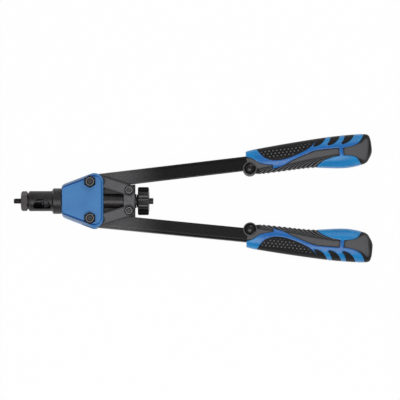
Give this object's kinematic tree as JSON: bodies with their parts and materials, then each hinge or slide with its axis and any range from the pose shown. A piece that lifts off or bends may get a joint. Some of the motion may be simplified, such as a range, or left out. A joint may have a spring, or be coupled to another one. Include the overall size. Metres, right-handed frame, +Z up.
{
  "type": "rivet nut tool",
  "caption": "Two-handed lever tool that pulls a threaded mandrel back through a hexagon nosepiece to set rivet nuts, with a cast head, toggle links and two-colour grips.",
  "frame": {"origin": "centre of the nosepiece's anvil face, on the pulling axis", "axes": "+X along the pulling axis from the nose towards the handles, +Y across the two arms towards the upper arm, +Z up with the tool lying flat"},
  "size_m": [0.3349, 0.1196, 0.0373],
  "materials": {
    "blue_cast": "glossy blue paint on a casting",
    "black_steel": "blackened steel, satin",
    "grey_steel": "dark grey phosphate on steel",
    "bronze": "plain bearing bronze",
    "knob_black": "black moulded plastic, satin",
    "arm_black": "black coated steel, satin",
    "grip_blue": "blue moulded plastic, satin",
    "grip_black": "black soft overmould, matt"
  },
  "bodies": {
    "frame": {"housing": "blue_cast", "nose_sleeve": "black_steel", "lock_collar": "black_steel", "nosepiece": "grey_steel", "tube_bush": "bronze", "pivot_bolts": "grey_steel", "pivot_nuts": "grey_steel"},
    "crosshead": {"crosshead": "grey_steel", "draw_tube": "black_steel", "crosshead_pins": "grey_steel", "thrust_washer": "grey_steel"},
    "spindle": {"spindle": "black_steel", "mandrel": "black_steel", "knob": "knob_black", "knob_insert": "black_steel", "latch_spring": "grey_steel"},
    "latch": {"latch_ring": "grey_steel"},
    "upper_arm": {"upper_arm": "arm_black", "upper_pivot_bush": "bronze", "upper_link_pin": "grey_steel", "upper_grip_core": "grip_blue", "upper_grip_cover": "grip_black", "upper_grip_pin": "knob_black"},
    "lower_arm": {"lower_arm": "arm_black", "lower_pivot_bush": "bronze", "lower_link_pin": "grey_steel", "lower_grip_core": "grip_blue", "lower_grip_cover": "grip_black", "lower_grip_pin": "knob_black"},
    "upper_link": {"upper_links": "grey_steel"},
    "lower_link": {"lower_links": "grey_steel"}
  },
  "joints": [
    {"name": "upper_arm_hinge", "type": "hinge", "parent": "frame", "child": "upper_arm", "pos_m": [0.0646, 0.0171, 0], "axis": [0, 0, 1], "range_deg": [0, 50]},
    {"name": "lower_arm_hinge", "type": "hinge", "parent": "frame", "child": "lower_arm", "pos_m": [0.0646, -0.0171, 0], "axis": [0, 0, 1], "range_deg": [-50, 0]},
    {"name": "crosshead_slide", "type": "slide", "parent": "frame", "child": "crosshead", "axis": [1, 0, 0], "range_m": [-0.0069, 0]},
    {"name": "upper_link_hinge", "type": "hinge", "parent": "crosshead", "child": "upper_link", "pos_m": [0.10092, 0.0096, 0], "axis": [0, 0, 1], "range_deg": [-16.1, 0]},
    {"name": "lower_link_hinge", "type": "hinge", "parent": "crosshead", "child": "lower_link", "pos_m": [0.10092, -0.0096, 0], "axis": [0, 0, 1], "range_deg": [0, 16.1]},
    {"name": "spindle_spin", "type": "hinge", "parent": "crosshead", "child": "spindle", "pos_m": [0.11, 0, 0], "axis": [1, 0, 0], "continuous": true},
    {"name": "latch_slide", "type": "slide", "parent": "spindle", "child": "latch", "axis": [1, 0, 0], "range_m": [0, 0.0032], "stiffness_N_per_m": 400, "springref_m": -0.003, "deforming": ["latch_spring"]}
  ],
  "couplings": [
    {"joint": "lower_arm_hinge", "follows": "upper_arm_hinge", "ratio": -1},
    {"joint": "crosshead_slide", "follows": "upper_arm_hinge", "m_per_rad": -0.0079},
    {"joint": "upper_link_hinge", "follows": "upper_arm_hinge", "ratio": -0.32},
    {"joint": "lower_link_hinge", "follows": "upper_arm_hinge", "ratio": 0.32}
  ]
}
